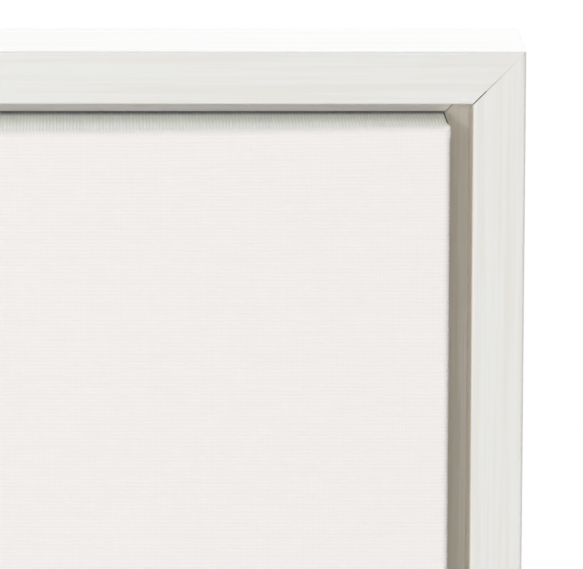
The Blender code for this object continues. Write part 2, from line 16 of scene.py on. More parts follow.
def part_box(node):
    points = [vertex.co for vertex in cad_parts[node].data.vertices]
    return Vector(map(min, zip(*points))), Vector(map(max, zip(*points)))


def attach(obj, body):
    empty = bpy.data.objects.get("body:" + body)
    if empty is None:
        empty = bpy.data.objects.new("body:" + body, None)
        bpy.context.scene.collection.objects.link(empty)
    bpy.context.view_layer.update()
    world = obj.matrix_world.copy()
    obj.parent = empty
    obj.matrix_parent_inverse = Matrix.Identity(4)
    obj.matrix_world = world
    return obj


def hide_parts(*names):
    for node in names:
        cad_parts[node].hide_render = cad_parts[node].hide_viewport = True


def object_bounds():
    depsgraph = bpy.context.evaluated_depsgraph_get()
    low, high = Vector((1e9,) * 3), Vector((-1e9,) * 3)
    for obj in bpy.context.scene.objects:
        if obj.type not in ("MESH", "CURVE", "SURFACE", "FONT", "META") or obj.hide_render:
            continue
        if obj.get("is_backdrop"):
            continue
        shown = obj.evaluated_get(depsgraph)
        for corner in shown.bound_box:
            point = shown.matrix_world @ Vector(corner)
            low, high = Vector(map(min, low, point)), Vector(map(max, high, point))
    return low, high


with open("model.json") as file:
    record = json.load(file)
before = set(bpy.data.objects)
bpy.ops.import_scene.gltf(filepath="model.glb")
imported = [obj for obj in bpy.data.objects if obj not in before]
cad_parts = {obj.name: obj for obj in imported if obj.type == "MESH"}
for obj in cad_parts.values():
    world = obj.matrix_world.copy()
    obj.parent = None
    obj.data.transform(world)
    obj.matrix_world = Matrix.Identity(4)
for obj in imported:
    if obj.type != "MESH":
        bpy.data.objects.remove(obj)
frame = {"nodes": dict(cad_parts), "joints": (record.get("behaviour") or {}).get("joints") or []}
solids = frame["nodes"]
solid_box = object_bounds()
MM = 0.001
QUARTER = math.pi / 2
SIDES = ("bottom", "right", "top", "left")
LEVEL_SIDES = ("bottom", "top")
print(len(solids), "solids, box", [round(v / MM, 1) for v in solid_box[1] - solid_box[0]], "mm")

# %% [markdown]
# ## Camera
#
# The picture is a close view of the top right corner, taken with a long lens from a little above. A long
# lens keeps the frame's edges nearly parallel. The camera is set by what it aims at, its three angles and
# its distance, because those can be measured from the edges in the picture.

# %% Camera
AIM = Vector((73.06, -15.0, 238.64)) * MM
PITCH, YAW, ROLL = math.radians(10.3), math.radians(0.75), math.radians(0.14)
DISTANCE, NEAREST = 1.0899, 0.05
LENS, SENSOR = 372.8, 36.0
forward = Vector((math.sin(YAW) * math.cos(PITCH), math.cos(YAW) * math.cos(PITCH), -math.sin(PITCH)))
camera = bpy.data.objects.new("camera", bpy.data.cameras.new("camera"))
camera.data.lens, camera.data.sensor_width, camera.data.clip_start = LENS, SENSOR, NEAREST
camera.location = AIM - forward * DISTANCE
camera.rotation_mode = "QUATERNION"
camera.rotation_quaternion = forward.to_track_quat("-Z", "Y") @ Quaternion((0, 0, 1), ROLL)
scene = bpy.context.scene
scene.collection.objects.link(camera)
scene.camera = camera
print("camera at", [round(v, 3) for v in camera.location])

# %% [markdown]
# ## Colours and nodes
#
# Colours are written as the hex values that a paint chart gives, and shaders want linear light, so one
# function converts them. One more adds a node with its settings and its links, and hands back the output
# that the next node needs, which keeps each recipe below short enough to read. Two sets of settings come
# back often: a range mapped to a smooth step from 0 to 1, and a mix of two colours.


# %% Colour and node helpers
def linear(chart_colour):
    """The linear colour of an sRGB hex value."""
    channels = [int(chart_colour[i : i + 2], 16) / 255 for i in (1, 3, 5)]
    return (*[c / 12.92 if c <= 0.04045 else ((c + 0.055) / 1.055) ** 2.4 for c in channels], 1.0)


def add(tree, kind, inputs=(), out=0, **settings):
    """Adds a node and returns an output. An input is a value, a hex colour or the socket that feeds it."""
    made = tree.nodes.new("ShaderNode" + kind)
    for name, value in settings.items():
        setattr(made, name, value)
    for socket, value in dict(inputs).items():
        if isinstance(value, bpy.types.NodeSocket):
            tree.links.new(value, made.inputs[socket])
        else:
            made.inputs[socket].default_value = linear(value) if isinstance(value, str) else value
    return made.outputs[out] if made.outputs else None


def new_material(name):
    """An empty material, and the shader whose sockets the recipes feed."""
    made = bpy.data.materials.new(name)
    made.use_nodes = True
    return made, made.node_tree, made.node_tree.nodes["Principled BSDF"]


# A MapRange takes its value at socket 0, the range it comes from at 1 and 2 and the range it goes to at 3
# and 4. A Mix takes its factor at 0, two numbers at 2 and 3, or two colours at 6 and 7.
SMOOTH = {"interpolation_type": "SMOOTHSTEP"}
COLOUR = {"data_type": "RGBA", "out": 2}
print("white is", linear("#FFFFFF"))

# %% [markdown]
# ## Stage
#
# The object stands on a floor in an even, pale surround. Camera rays that miss the object see plain white:
# the surround is white to them, and so is the floor further away, while near the object the floor is paper
# that keeps its shadow. The Light Path node tells camera rays from the rest, so the surround can look white
# and still give only a little light.

# %% Floor
FLOOR_SIZE, PAPER_TO, WHITE_FROM = 4.0, 0.30, 0.75
floor_mesh = bmesh.new()
bmesh.ops.create_grid(floor_mesh, x_segments=1, y_segments=1, size=FLOOR_SIZE)
floor = bpy.data.objects.new("floor", bpy.data.meshes.new("floor"))
floor_mesh.to_mesh(floor.data)
floor_mesh.free()
scene.collection.objects.link(floor)
# Matt paper gives the eye a pale, even ground that takes a soft shadow
floor_finish, tree, shader = new_material("pale_paper_floor")
shader.inputs["Base Color"].default_value = linear("#F1F0EE")
shader.inputs["Roughness"].default_value = 0.9
away = add(tree, "VectorMath", {0: add(tree, "TexCoord", out="Object")}, out="Value", operation="LENGTH")
away = add(tree, "MapRange", {0: away, 1: PAPER_TO, 2: WHITE_FROM})
path = add(tree, "LightPath").node.outputs
seen = add(tree, "Math", {0: path["Is Camera Ray"], 1: path["Is Glossy Ray"]}, operation="MAXIMUM")
seen = add(tree, "Math", {0: seen, 1: away}, operation="MULTIPLY")
white = add(tree, "Emission", {"Color": "#FFFFFF", "Strength": 1.0})
paper = add(tree, "MixShader", {0: seen, 1: shader.outputs[0], 2: white})
tree.links.new(paper, tree.nodes["Material Output"].inputs["Surface"])
floor.data.materials.append(floor_finish)
floor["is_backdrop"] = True
print("paper to", PAPER_TO, "m, white from", WHITE_FROM, "m")

# %% Surround
SURROUND = 0.08
scene.view_settings.view_transform = "Standard"
world = bpy.data.worlds.new("pale_surround")
scene.world = world
world.use_nodes = True
tree = world.node_tree
tree.nodes.clear()
path = add(tree, "LightPath").node.outputs
seen = add(tree, "Math", {0: path["Is Camera Ray"], 1: path["Is Glossy Ray"]}, operation="MAXIMUM")
seen = add(tree, "Math", {0: seen, 1: path["Is Transmission Ray"]}, operation="MAXIMUM")
lit = add(tree, "Background", {"Color": "#FFFEFC", "Strength": SURROUND})
shown = add(tree, "Background", {"Color": "#FFFFFF", "Strength": 1.0})
both = add(tree, "MixShader", {0: seen, 1: lit, 2: shown})
add(tree, "OutputWorld", {"Surface": both})
print("surround gives", SURROUND, "of a white sky")

# %% [markdown]
# ## Light
#
# Five soft lamps. Each one's height decides how far its light gets into the 4 mm gap round the canvas. The
# key lamp is small, so it leaves a lit wedge on the ledge at the corner. The wide lamp is low, and lights
# the strip of ledge above the canvas. The high lamp is tall, and lights the canvas's top side. The top lamp
# whitens the top of the frame, and the back lamp keeps the back readable when the camera walks round.
# Light needs more bounces than usual to fill a narrow white gap.

# %% Light
BOUNCES = 10
scene.cycles.diffuse_bounces = BOUNCES


def soft_lamp(name, left, up, distance, watts, width, height, tint):
    """A soft lamp that faces the canvas, from so many degrees left of its front and above it."""
    left, up = math.radians(left), math.radians(up)
    way = Vector((-math.sin(left) * math.cos(up), -math.cos(left) * math.cos(up), math.sin(up)))
    lamp = bpy.data.objects.new(name, bpy.data.lights.new(name, "AREA"))
    lamp.data.energy, lamp.data.color = watts, linear(tint)[:3]
    lamp.data.shape, lamp.data.size, lamp.data.size_y = "RECTANGLE", width, height
    lamp.location = AIM + distance * way
    lamp.rotation_mode = "QUATERNION"
    lamp.rotation_quaternion = (-way).to_track_quat("-Z", "Y")
    scene.collection.objects.link(lamp)


# Name, degrees left and up, distance in metres, watts, width and height in metres, tint
soft_lamp("key_lamp", 15, 12, 2.2, 6.2, 0.45, 0.45, "#FFFFFF")
soft_lamp("wide_lamp", 14, 4, 2.2, 9.8, 2.8, 0.45, "#FFFFFF")
soft_lamp("high_lamp", 20, 27, 2.2, 25.5, 1.2, 1.4, "#FBFDFF")
soft_lamp("top_lamp", 180, 72, 1.0, 8.4, 0.5, 0.5, "#F7FAFF")
soft_lamp("back_lamp", 215, 25, 1.8, 12.0, 1.0, 1.0, "#FFFFFF")
print(len(bpy.data.lights), "lamps,", BOUNCES, "bounces")

# %% [markdown]
# ## White-washed wood
#
# The frame is pine under a thin white stain. The stain fills the grain but lets long, soft cream streaks
# show through. It is worn to cream on the inner arrises. The outer arrises are grey on the level rails, and
# on the upright ones painted paler than the face, a painted highlight where the arris turns from the lamps.
# In the rebate the stain is painted paler than on the face, most on the level rails, and the upright walls
# are painted darker at the front and whiter with depth: painted light against the shading of the gap. The
# gap's shade still turns it greige. The back is bare.
#
# One recipe serves both directions. A rail's grain follows its length, so the coordinates are turned to
# read along the rail, through its depth and across it. Where on the section a point lies picks the zone.

# %% Wood helpers
FACE_WIDTH, SEAT_GAP = 9.5 * MM, 0.3 * MM
FRONT_Y = solid_box[0].y
BACK_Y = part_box("bottom_frame_rail")[1].y
LEDGE_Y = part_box("canvas_cloth")[1].y + SEAT_GAP
CENTRE_Z = (solid_box[0].z + solid_box[1].z) / 2
frame_high = solid_box[1]


def grain_depth_across(tree, upright):
    """Object coordinates turned so that X runs along the grain, with their depth and their way across."""
    x, y, z = add(tree, "SeparateXYZ", {0: add(tree, "TexCoord", out="Object")}).node.outputs
    z = add(tree, "Math", {0: z, 1: CENTRE_Z}, operation="SUBTRACT")
    along, across = (z, x) if upright else (x, z)
    return add(tree, "CombineXYZ", {0: along, 1: y, 2: across}), y, across


def stretched_noise(tree, vector, length, width, detail=3.0, roughness=0.55):
    """Noise drawn out along X: streaks of about this length and width in metres."""
    per_metre = (1 / length, 1 / width, 1 / width)
    scaled = add(tree, "VectorMath", {0: vector, 1: per_metre}, operation="MULTIPLY")
    inputs = {"Vector": scaled, "Scale": 1.0, "Detail": detail, "Roughness": roughness}
    return add(tree, "TexNoise", inputs, out="Fac")


def dress(name, finish):
    """Gives a solid its finish."""
    solids[name].data.materials.clear()
    solids[name].data.materials.append(finish)


print("ledge", round((LEDGE_Y - FRONT_Y) / MM, 1), "mm behind the front")


# %% White-washed wood
# It gives the eye a soft off-white without shine, faint cream streaks, and greige in the gap's shade
def white_washed_wood(name, upright, half_across, rebate, wall, outer_arris):
    """Thin white stain on pine. Rebate is its ground and its streaks, wall its front and its depth, all with
    painted light.
    """
    made, tree, shader = new_material(name)
    grain, depth, across = grain_depth_across(tree, upright)
    streaks = stretched_noise(tree, grain, 60 * MM, 0.9 * MM)
    fibres = stretched_noise(tree, grain, 18 * MM, 0.26 * MM, detail=4.0)
    both = add(tree, "Math", {0: streaks, 1: fibres}, operation="ADD")
    soft = add(tree, "Math", {0: fibres, 1: 0.5, 2: streaks}, operation="MULTIPLY_ADD")

    # The stain on the face, with painted light in the rebate and on its wall, and the bare wood behind
    streaky = add(tree, "MapRange", {0: soft, 1: 0.66, 2: 0.93}, **SMOOTH)
    washed = add(tree, "Mix", {0: streaky, 6: "#DDDCD9", 7: "#DAD7D1"}, **COLOUR)
    streaky = add(tree, "MapRange", {0: both, 1: 0.86, 2: 1.14}, **SMOOTH)
    rebate_painted_light = add(tree, "Mix", {0: streaky, 6: rebate[0], 7: rebate[1]}, **COLOUR)
    deep = add(tree, "MapRange", {0: depth, 1: FRONT_Y + 3 * MM, 2: LEDGE_Y - 3 * MM}, **SMOOTH)
    inner_wall = add(tree, "Mix", {0: deep, 6: wall[0], 7: wall[1]}, **COLOUR)
    on_wall = add(tree, "MapRange", {0: depth, 1: LEDGE_Y - 0.1 * MM, 2: LEDGE_Y - 0.4 * MM}, **SMOOTH)
    rebate_painted_light = add(tree, "Mix", {0: on_wall, 6: rebate_painted_light, 7: inner_wall}, **COLOUR)
    streaky = add(tree, "MapRange", {0: both, 1: 0.80, 2: 1.20}, **SMOOTH)
    bare = add(tree, "Mix", {0: streaky, 6: "#E2C79B", 7: "#CFA771"}, **COLOUR)

    # Where each of them lies on the section of the rail
    edge = add(tree, "Math", {0: across}, operation="ABSOLUTE")
    inset = add(tree, "Math", {0: half_across, 1: edge}, operation="SUBTRACT")
    inside = add(tree, "MapRange", {0: inset, 1: FACE_WIDTH - 0.12 * MM, 2: FACE_WIDTH - 0.02 * MM}, **SMOOTH)
    behind = add(tree, "MapRange", {0: depth, 1: BACK_Y - 0.25 * MM, 2: BACK_Y - 0.05 * MM}, **SMOOTH)
    start = add(tree, "MapRange", {0: depth, 1: FRONT_Y + 0.05 * MM, 2: FRONT_Y + 0.20 * MM}, **SMOOTH)
    end = add(tree, "MapRange", {0: depth, 1: FRONT_Y + 0.75 * MM, 2: FRONT_Y + 0.45 * MM}, **SMOOTH)
    arris_wear_and_painted_light = add(tree, "Math", {0: start, 1: end}, operation="MULTIPLY")
    inner = add(tree, "MapRange", {0: inset, 1: 4.0 * MM, 2: 5.0 * MM}, **SMOOTH)
    arris = add(tree, "Mix", {0: inner, 6: outer_arris, 7: "#DDD2C2"}, **COLOUR)

    colour = add(tree, "Mix", {0: arris_wear_and_painted_light, 6: washed, 7: arris}, **COLOUR)
    colour = add(tree, "Mix", {0: inside, 6: colour, 7: rebate_painted_light}, **COLOUR)
    colour = add(tree, "Mix", {0: behind, 6: colour, 7: bare}, **COLOUR)
    bump = add(tree, "Bump", {"Strength": 0.35, "Distance": 0.03 * MM, "Height": both})
    tree.links.new(colour, shader.inputs["Base Color"])
    tree.links.new(bump, shader.inputs["Normal"])
    shader.inputs["Roughness"].default_value = 0.62
    return made


# Level rails: rebate and walls painted paler than the face, painted light for the strip of ledge above the
# canvas; outer arris grey
level_wash = white_washed_wood(
    "white_washed_pine_level",
    upright=False,
    half_across=frame_high.z - CENTRE_Z,
    rebate=("#FDFBF7", "#F8F5EE"),
    wall=("#FBF9F4", "#FBF9F4"),
    outer_arris="#C6C5C1",
)
# Upright rails: rebate painted paler than the face, less than on the level rails; walls painted darker at the
# front and whiter with depth, against the gap's shading; outer arris painted paler than the face, a painted
# highlight
upright_wash = white_washed_wood(
    "white_washed_pine_upright",
    upright=True,
    half_across=frame_high.x,
    rebate=("#E9E5DE", "#E2DDD4"),
    wall=("#D6CCBE", "#FCF8F1"),
    outer_arris="#F2F1EE",
)
for side in SIDES:
    dress(f"{side}_frame_rail", level_wash if side in LEVEL_SIDES else upright_wash)
print("white-washed", level_wash.name, "and", upright_wash.name)

# %% [markdown]
# ## Bare pine and beech
#
# The stretcher bars are planed pine: wide honey-coloured growth bands, with fine fibres between. The bands
# are the sine of a slow noise, which wanders as growth rings do. The keys are sawn beech, which is pinker
# and speckled with short dark flecks. Both are bare, so they are dull.


# %% Bare pine
# Planed pine gives the eye a warm honey colour in bands, darker in the late wood
def bare_pine(name, upright):
    """Planed pine: growth bands along the bar."""
    made, tree, shader = new_material(name)
    grain = grain_depth_across(tree, upright)[0]
    bands = stretched_noise(tree, grain, 160 * MM, 5.0 * MM, detail=2.0)
    rings = add(tree, "Math", {0: bands, 1: 42.0}, operation="MULTIPLY")
    rings = add(tree, "Math", {0: rings}, operation="SINE")
    fibres = stretched_noise(tree, grain, 30 * MM, 0.35 * MM, detail=4.0)
    late_wood = add(tree, "MapRange", {0: rings, 1: 0.1, 2: 1.0}, **SMOOTH)
    colour = add(tree, "Mix", {0: late_wood, 6: "#E3C797", 7: "#CFA468"}, **COLOUR)
    fine = add(tree, "MapRange", {0: fibres, 1: 0.35, 2: 0.70}, **SMOOTH)
    colour = add(tree, "Mix", {0: fine, 6: colour, 7: "#D9B985"}, **COLOUR)
    bump = add(tree, "Bump", {"Strength": 0.4, "Distance": 0.04 * MM, "Height": fibres})
    tree.links.new(colour, shader.inputs["Base Color"])
    tree.links.new(bump, shader.inputs["Normal"])
    shader.inputs["Roughness"].default_value = 0.68
    return made


level_pine, upright_pine = bare_pine("planed_pine_level", False), bare_pine("planed_pine_upright", True)
for side in SIDES:
    dress(f"{side}_stretcher_bar", level_pine if side in LEVEL_SIDES else upright_pine)
print("bare pine on", len(SIDES), "bars")


# %% Sawn beech
# Sawn beech gives the eye an even, pinkish tan with short dark flecks along the grain
def sawn_beech(name, upright):
    """Sawn beech: an even tone and flecks."""
    made, tree, shader = new_material(name)
    grain = grain_depth_across(tree, upright)[0]
    tone = stretched_noise(tree, grain, 25 * MM, 1.5 * MM)
    flecks = stretched_noise(tree, grain, 2.2 * MM, 0.30 * MM, detail=1.0)
    tone = add(tree, "MapRange", {0: tone, 1: 0.3, 2: 0.7}, **SMOOTH)
    colour = add(tree, "Mix", {0: tone, 6: "#E0BE95", 7: "#D3A97C"}, **COLOUR)
    dark = add(tree, "MapRange", {0: flecks, 1: 0.60, 2: 0.72}, **SMOOTH)
    colour = add(tree, "Mix", {0: dark, 6: colour, 7: "#A97F58"}, **COLOUR)
    bump = add(tree, "Bump", {"Strength": 0.5, "Distance": 0.05 * MM, "Height": flecks})
    tree.links.new(colour, shader.inputs["Base Color"])
    tree.links.new(bump, shader.inputs["Normal"])
    shader.inputs["Roughness"].default_value = 0.72
    return made


level_beech, upright_beech = sawn_beech("sawn_beech_level", False), sawn_beech("sawn_beech_upright", True)
keys = [name for name in solids if "_key_" in name]
for name in keys:
    dress(name, upright_beech if name.endswith("upright") else level_beech)
print("beech on", len(keys), "keys")

# %% [markdown]
# ## Steel
#
# The screws and hangers are zinc plated, which dulls a steel a little and leaves faint cloudy patches. The
# staples are drawn wire, which is brighter. The V-nails are blank cold-rolled strip, which is darker. One
# recipe makes all three, with its own two greys and roughness for each.


# %% Steel
# Plated steel gives the eye a pale grey metal with blurred highlights and cloudy patches
def plated_steel(name, light, dark, roughness):
    """A pale metal with cloudy patches a millimetre or so across."""
    made, tree, shader = new_material(name)
    place = add(tree, "TexCoord", out="Object")
    clouds = stretched_noise(tree, place, 1.4 * MM, 1.4 * MM)
    fine = stretched_noise(tree, place, 0.25 * MM, 0.25 * MM)
    cloudy = add(tree, "MapRange", {0: clouds, 1: 0.3, 2: 0.7}, **SMOOTH)
    colour = add(tree, "Mix", {0: cloudy, 6: light, 7: dark}, **COLOUR)
    rough = add(tree, "MapRange", {0: clouds, 3: roughness - 0.06, 4: roughness + 0.10})
    bump = add(tree, "Bump", {"Strength": 0.25, "Distance": 0.01 * MM, "Height": fine})
    tree.links.new(colour, shader.inputs["Base Color"])
    tree.links.new(rough, shader.inputs["Roughness"])
    tree.links.new(bump, shader.inputs["Normal"])
    shader.inputs["Metallic"].default_value = 1.0
    return made


zinc = plated_steel("zinc_plated_steel", "#C9CBCB", "#B4B6B4", 0.34)
wire_steel = plated_steel("drawn_staple_wire", "#C4C5C7", "#A9AAAC", 0.28)
strip_steel = plated_steel("cold_rolled_strip", "#9C9D9F", "#86878A", 0.40)
for name in solids:
    if "_v_nail_" in name:
        dress(name, strip_steel)
print("steel finishes", zinc.name, wire_steel.name, strip_steel.name)

# %% [markdown]
# ## Primed cotton
#
# The canvas is a plain weave of cotton with about 17 threads to the centimetre across and 15 up, under two
# coats of white primer. On the front the primer fills most of the weave, so what is left is a faint ribbing
# with thicker threads here and there, and a painted shade darkens the pits. On the sides the primer is thin,
# so the threads that run back along the depth stand out as ribs, which lean a little; the sides are painted
# whiter and cooler than the front, a painted light that lifts them in the dim gap. A painted shade darkens the
# side's foot by the ledge and the fold at each corner. The weave is counted off on the cloth's own flat
# coordinates, so that the threads run on over the edges. The back of the cloth is not primed, and shows the
# natural colour of cotton with darker specks of seed husk.

# %% Weave
THREAD_ACROSS, THREAD_UP, SLUB_LENGTH = 0.60 * MM, 0.68 * MM, 14 * MM
RIB_ACROSS, RIB_UP, SIDE_RIB, LEAN = 0.40, 0.80, 5.6, 0.02
THIN_FROM, THIN_TO, EVENER = -0.6 * MM, 1.2 * MM, 0.85
low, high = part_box("canvas_cloth")
middle, half = (low + high) / 2, (high - low) / 2
depth_of_side = high.y - low.y


def weave(tree):
    """Flat coordinates in metres, how far out they lie, where the sides with their thin primer are, and the
    weave's height.
    """
    flat = add(tree, "UVMap", uv_map="flat_cloth")
    place = add(tree, "SeparateXYZ", {0: flat}).node.outputs
    far = [add(tree, "Math", {0: place[axis]}, operation="ABSOLUTE") for axis in (0, 1)]
    past_edge = []
    for way, reach in zip(far, (half.x, half.z)):
        past_edge.append(add(tree, "MapRange", {0: way, 1: reach + THIN_FROM, 2: reach + THIN_TO}, **SMOOTH))
    on_the_sides = add(tree, "Math", {0: past_edge[0], 1: past_edge[1]}, operation="MAXIMUM")
    even = add(tree, "Math", {0: on_the_sides, 1: EVENER}, operation="MULTIPLY")
    beyond = add(tree, "Math", {0: far[1], 1: half.z}, operation="SUBTRACT")
    beyond = add(tree, "Math", {0: beyond, 1: 0.0}, operation="MAXIMUM")
    leaning = add(tree, "Math", {0: beyond, 1: LEAN, 2: place[0]}, operation="MULTIPLY_ADD")
    wander = stretched_noise(tree, flat, 6 * MM, 6 * MM, detail=2.0)
    wander = add(tree, "Math", {0: wander, 1: 0.5}, operation="MULTIPLY")

    heights = []
    threads = ((0, leaning, THREAD_ACROSS, RIB_ACROSS), (1, place[1], THREAD_UP, RIB_UP))
    for axis, way, pitch, rib in threads:
        fuller = add(tree, "MapRange", {0: past_edge[1 - axis], 3: rib, 4: SIDE_RIB * rib})
        count = add(tree, "Math", {0: way, 1: 1 / pitch, 2: wander}, operation="MULTIPLY_ADD")
        turn = add(tree, "Math", {0: count, 1: 2 * math.pi}, operation="MULTIPLY")
        ridge = add(tree, "Math", {0: turn}, operation="SINE")
        per_metre = [1 / SLUB_LENGTH, 1 / SLUB_LENGTH, 1]
        per_metre[axis] = 1 / pitch
        lane = add(tree, "VectorMath", {0: flat, 1: per_metre}, operation="MULTIPLY")
        slub = add(tree, "TexNoise", {"Vector": lane, "Scale": 0.8, "Detail": 2.0}, out="Fac")
        swell = add(tree, "MapRange", {0: slub, 1: 0.3, 2: 0.7, 3: 0.4, 4: 1.6})
        swell = add(tree, "Mix", {0: even, 2: swell, 3: 1.0})
        ridge = add(tree, "Math", {0: ridge, 1: swell}, operation="MULTIPLY")
        heights.append(add(tree, "Math", {0: ridge, 1: fuller}, operation="MULTIPLY"))
    height = add(tree, "Math", {0: heights[0], 1: heights[1]}, operation="ADD")
    return flat, far, on_the_sides, height


print("weave of", round(10 * MM / THREAD_ACROSS, 1), "by", round(10 * MM / THREAD_UP, 1), "threads per cm")


# %% Cotton
# Primed cotton gives the eye a matt, slightly warm white with a faint grid, and raw cotton a dull cream
def woven_cotton(name, light, pit_painted_shade, depth, specks=None, painted_shade=None):
    """Cotton weave of this depth in metres, with painted shade that darkens the pits between the threads."""
    made, tree, shader = new_material(name)
    flat, (across, up), on_the_sides, height = weave(tree)
    # Painted shade: the pits between the threads are painted darker than the threads
    raised = add(tree, "MapRange", {0: height, 1: -1.2, 2: 0.6}, **SMOOTH)
    colour = add(tree, "Mix", {0: raised, 6: pit_painted_shade, 7: light}, **COLOUR)
    if painted_shade:
        # Painted light: the sides are painted whiter and cooler than the front, which lifts them where little
        # light reaches into the gap
        colour = add(tree, "Mix", {0: on_the_sides, 6: colour, 7: "#FAFBFA"}, **COLOUR)
        # Painted shade: a dark band at the foot of the side, where it meets the ledge
        off = add(tree, "Math", {0: up, 1: half.z + depth_of_side}, operation="SUBTRACT")
        off = add(tree, "Math", {0: off}, operation="ABSOLUTE")
        foot_shade_mask = add(tree, "MapRange", {0: off, 1: 6.0 * MM, 2: 1.2 * MM}, **SMOOTH)
        colour = add(tree, "Mix", {0: foot_shade_mask, 6: colour, 7: painted_shade}, **COLOUR)
        # Painted shade: a dark line on the side next to each front corner, where the cloth is folded
        at_fold = add(tree, "MapRange", {0: across, 1: half.x - 0.45 * MM, 2: half.x - 0.15 * MM}, **SMOOTH)
        round_edge = add(tree, "MapRange", {0: up, 1: half.z + 1.0 * MM, 2: half.z + 6.0 * MM}, **SMOOTH)
        crease_shade_mask = add(tree, "Math", {0: at_fold, 1: round_edge}, operation="MULTIPLY")
        colour = add(tree, "Mix", {0: crease_shade_mask, 6: colour, 7: painted_shade}, **COLOUR)
    if specks:
        husk = stretched_noise(tree, flat, 1.6 * MM, 0.5 * MM, detail=1.0)
        husk = add(tree, "MapRange", {0: husk, 1: 0.70, 2: 0.76}, **SMOOTH)
        colour = add(tree, "Mix", {0: husk, 6: colour, 7: specks}, **COLOUR)
    bump = add(tree, "Bump", {"Strength": 1.0, "Distance": depth, "Height": height})
    tree.links.new(colour, shader.inputs["Base Color"])
    tree.links.new(bump, shader.inputs["Normal"])
    shader.inputs["Roughness"].default_value = 0.88
    return made


# The primed cotton carries painted shade at the side's foot and in the fold at each corner
primed = woven_cotton("primed_cotton", "#E8E4E2", "#E5E1DF", 0.016 * MM, painted_shade="#666B70")
raw = woven_cotton("raw_cotton", "#DCD2BE", "#CDC1AA", 0.06 * MM, specks="#8F7B5C")
print("cotton finishes", primed.name, raw.name)

# %% [markdown]
# ## The cloth
#
# One sheet is pulled over the front, round the edges and on to the back of the bars. The mesh grows the
# same way: a grid for the front, whose lines are crowded towards its edges, and then its rim is extruded
# again and again, round the front arris, back along the side, round the back arris and inwards. The flat
# coordinates are written on the way, before the cloth is given its small faults. Solidify then gives it its
# thickness, and puts raw cotton on the inside.

# %% Cloth: front
FRONT_RADIUS, BACK_RADIUS, TURN_IN, THICKNESS = 1.0 * MM, 0.8 * MM, 24.0 * MM, 0.5 * MM
CELLS_ACROSS, CELLS_UP, CROWDING = 112, 132, 0.80
flat_x, flat_z = half.x - FRONT_RADIUS, half.z - FRONT_RADIUS


def crowd(share):
    """Moves evenly spaced shares from -1 to 1 towards the ends."""
    return share + CROWDING * math.sin(math.pi * share) / math.pi


cloth_mesh = bmesh.new()
bmesh.ops.create_grid(cloth_mesh, x_segments=CELLS_ACROSS, y_segments=CELLS_UP, size=1.0)
for vert in cloth_mesh.verts:
    vert.co = (crowd(vert.co.x), crowd(vert.co.y), 0)
lay = Matrix.Translation((middle.x, low.y, middle.z)) @ Matrix.Rotation(QUARTER, 4, "X")
bmesh.ops.transform(cloth_mesh, matrix=lay @ Matrix.Diagonal((flat_x, flat_z, 1, 1)), verts=cloth_mesh.verts)
print("front of", len(cloth_mesh.faces), "faces")

# %% Cloth: rim
FRONT_STEPS, SIDE_STEPS, BACK_STEPS, TURN_IN_STEPS = 8, 12, 5, 24


def arc(steps):
    """The angles of a quarter turn in equal steps."""
    return [QUARTER * i / steps for i in range(1, steps + 1)]


# Each station of the rim: how far out from the flat front, and how deep
stations = [(FRONT_RADIUS * math.sin(t), FRONT_RADIUS * (1 - math.cos(t))) for t in arc(FRONT_STEPS)]
straight = depth_of_side - FRONT_RADIUS - BACK_RADIUS
stations += [(FRONT_RADIUS, FRONT_RADIUS + straight * i / SIDE_STEPS) for i in range(1, SIDE_STEPS + 1)]
stations += [
    (FRONT_RADIUS - BACK_RADIUS * (1 - math.cos(t)), depth_of_side - BACK_RADIUS * (1 - math.sin(t)))
    for t in arc(BACK_STEPS)
]
reach_in, inwards = FRONT_RADIUS - BACK_RADIUS, TURN_IN - BACK_RADIUS
stations += [(reach_in - inwards * i / TURN_IN_STEPS, depth_of_side) for i in range(1, TURN_IN_STEPS + 1)]
out, deep = 0.0, 0.0
for next_out, next_deep in stations:
    rim = [e for e in cloth_mesh.edges if e.is_boundary]
    grown = bmesh.ops.extrude_edge_only(cloth_mesh, edges=rim)["geom"]
    rim_verts = [v for v in grown if isinstance(v, bmesh.types.BMVert)]
    ratio = ((flat_x + next_out) / (flat_x + out), 1, (flat_z + next_out) / (flat_z + out))
    bmesh.ops.scale(cloth_mesh, vec=ratio, verts=rim_verts, space=Matrix.Translation(-middle))
    bmesh.ops.translate(cloth_mesh, vec=(0, next_deep - deep, 0), verts=rim_verts)
    out, deep = next_out, next_deep
bmesh.ops.recalc_face_normals(cloth_mesh, faces=cloth_mesh.faces)
print("cloth mesh", len(cloth_mesh.faces), "faces in", len(stations), "rim stations")

# %% [markdown]
# The flat coordinates are where each point lay before the cloth was wrapped, in metres. On the front they
# are simply across and up. On a side, the depth is added to the way out, and on the back the way in.

# %% Cloth: flat coordinates
flat_layer = cloth_mesh.loops.layers.uv.new("flat_cloth")
for face in cloth_mesh.faces:
    centre = face.calc_center_median() - middle
    on_back = face.normal.y > 0.9
    over_top = abs(centre.z) / half.z > abs(centre.x) / half.x
    for loop in face.loops:
        place = loop.vert.co - middle
        depth = loop.vert.co.y - low.y
        across, up = abs(place.x), abs(place.z)
        if over_top:
            up = 2 * half.z + depth - up if on_back else up + depth
        else:
            across = 2 * half.x + depth - across if on_back else across + depth
        loop[flat_layer].uv = (math.copysign(across, place.x), math.copysign(up, place.z))

# %% [markdown]
# Real cloth is not perfect. The pull between the corners draws the top and bottom front edges in a little.
# At each corner the spare cloth is folded away, which leaves a small nose at the front corner and draws the
# side in behind it. On the back the fold shows as a ridge along the mitre.

